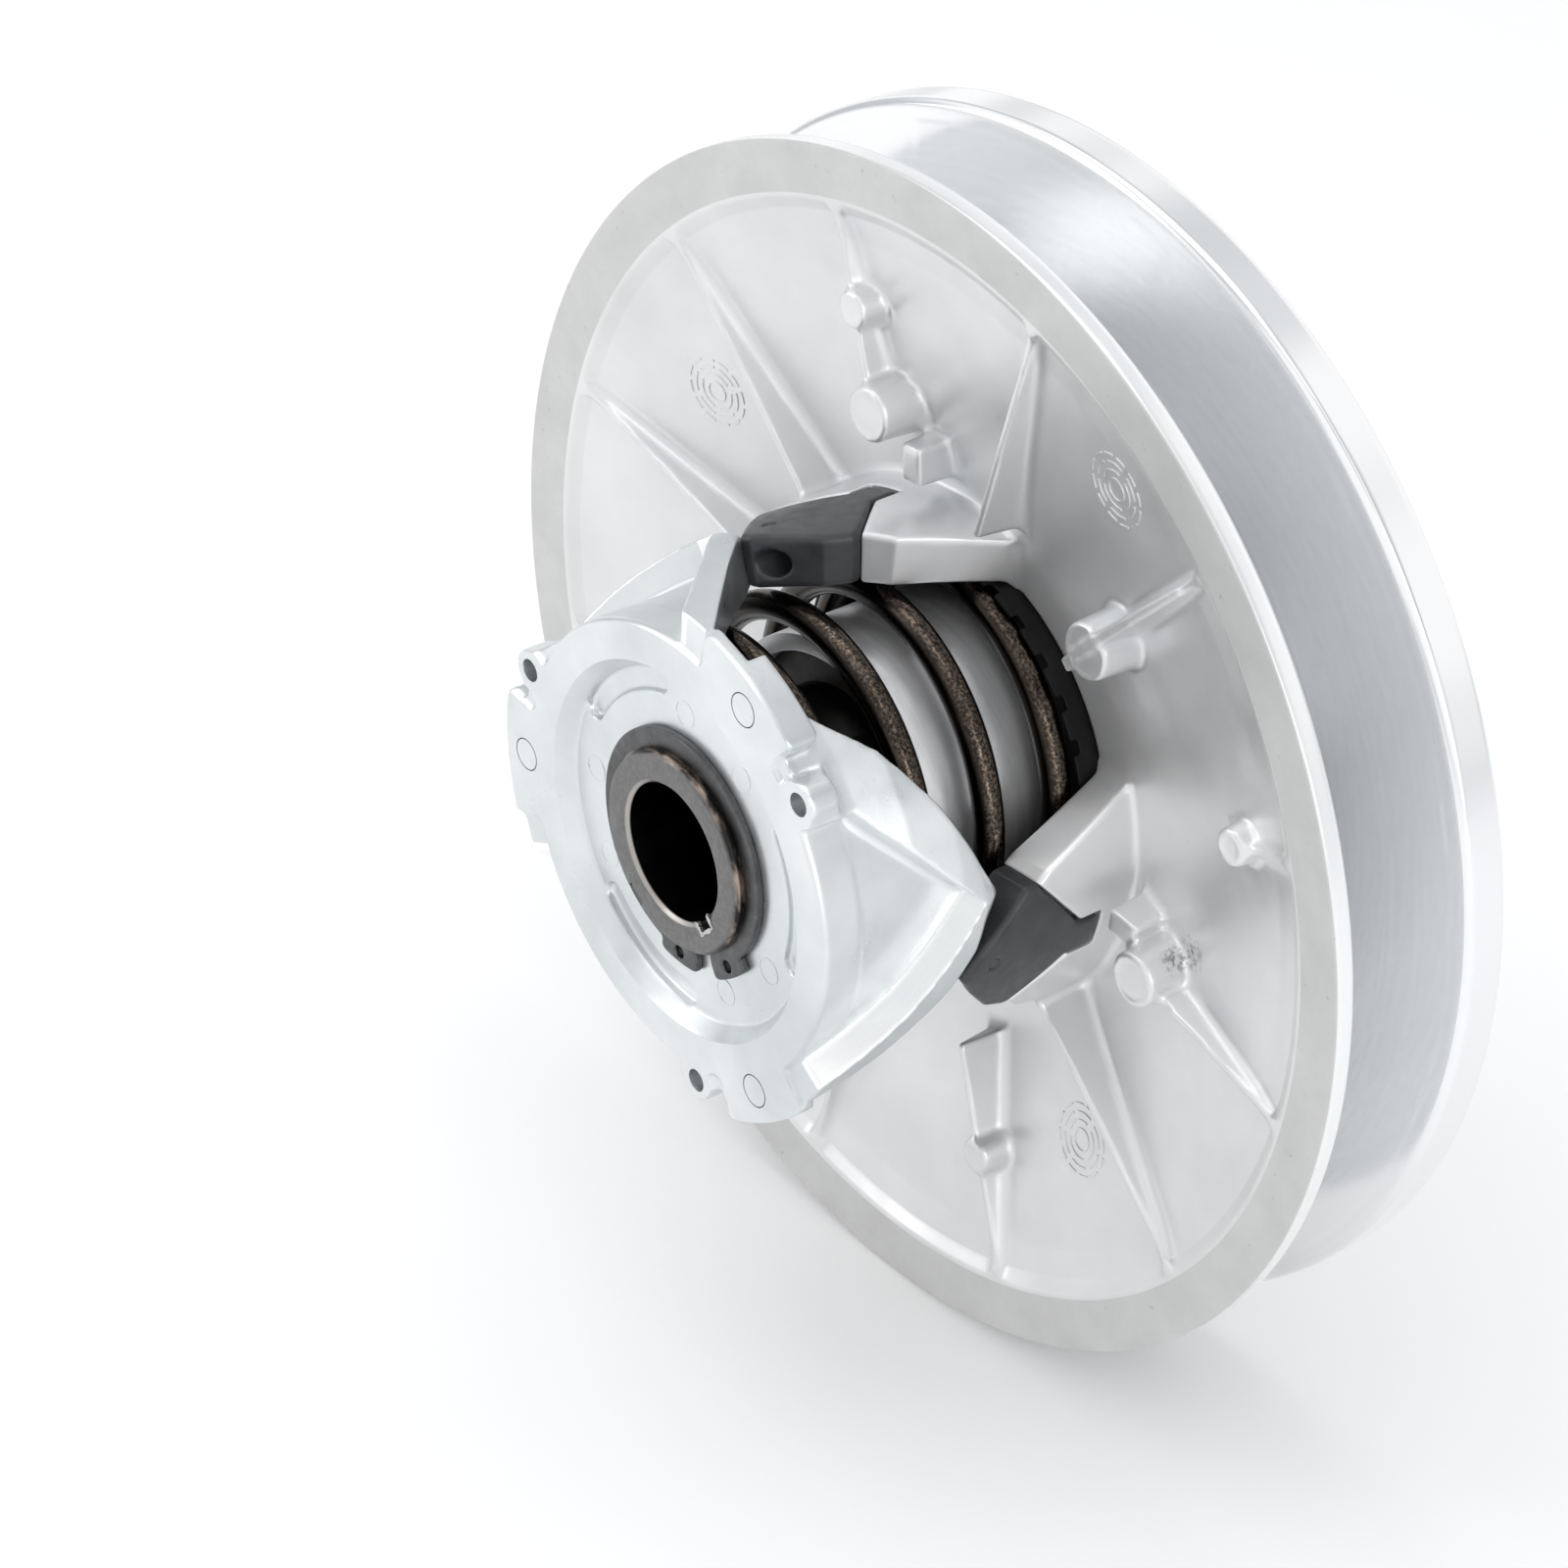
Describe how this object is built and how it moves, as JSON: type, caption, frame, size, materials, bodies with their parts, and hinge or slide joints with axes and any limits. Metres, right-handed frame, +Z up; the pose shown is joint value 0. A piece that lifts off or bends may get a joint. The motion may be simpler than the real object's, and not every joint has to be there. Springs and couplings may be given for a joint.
{
  "type": "driven pulley set of a belt drive",
  "caption": "Driven clutch of a belt drive: fixed sheave on a hub tube, spring-loaded sliding sheave with ramp shoes, and a lobed cam held by a snap ring.",
  "frame": {"origin": "middle of the shaft bore, on its axis", "axes": "Y along the shaft bore; -Y towards the cam and the snap ring, +Y towards the fixed sheave; +Z up"},
  "size_m": [0.266, 0.1166, 0.266],
  "materials": {
    "cast_aluminium": "satin die-cast",
    "cam_aluminium": "satin die-cast",
    "dark_steel": "black oxide, worn",
    "bright_steel": "ground",
    "spring_steel": "dark oiled spring wire",
    "zinc_steel": "zinc plated",
    "bush": "filled polymer liner",
    "black_plastic": "moulded, filled nylon"
  },
  "bodies": {
    "hub_and_cam": {"fixed_sheave": "cast_aluminium", "hub_tube": "dark_steel", "sheave_rivets": "zinc_steel", "rivet_ring": "dark_steel", "gap_shim_1": "bright_steel", "gap_shim_2": "bright_steel", "cam": "cam_aluminium", "cam_key_1": "dark_steel", "cam_key_2": "dark_steel", "snap_ring": "dark_steel", "front_spring_seat": "dark_steel"},
    "spring_end": {"spring": "spring_steel", "slip_washer": "black_plastic"},
    "sliding_side": {"sliding_sheave": "cast_aluminium", "guide_sleeve": "bright_steel", "front_bush": "bush", "rear_bush": "bush", "rear_spring_seat": "black_plastic", "ramp_shoe_1": "black_plastic", "ramp_shoe_2": "black_plastic", "ramp_shoe_3": "black_plastic", "shoe_pin_1": "zinc_steel", "shoe_pin_2": "zinc_steel", "shoe_pin_3": "zinc_steel"}
  },
  "joints": [
    {"name": "sheave_slide", "type": "slide", "parent": "hub_and_cam", "child": "spring_end", "axis": [0, -1, 0], "range_m": [0, 0.027], "stiffness_N_per_m": 9000, "springref_m": -0.02, "deforming": ["spring"]},
    {"name": "sheave_turn", "type": "hinge", "parent": "spring_end", "child": "sliding_side", "pos_m": [0, 0, 0], "axis": [0, 1, 0], "range_deg": [0, 28.6]}
  ],
  "couplings": [
    {"joint": "sheave_turn", "follows": "sheave_slide", "rad_per_m": 18.372}
  ]
}
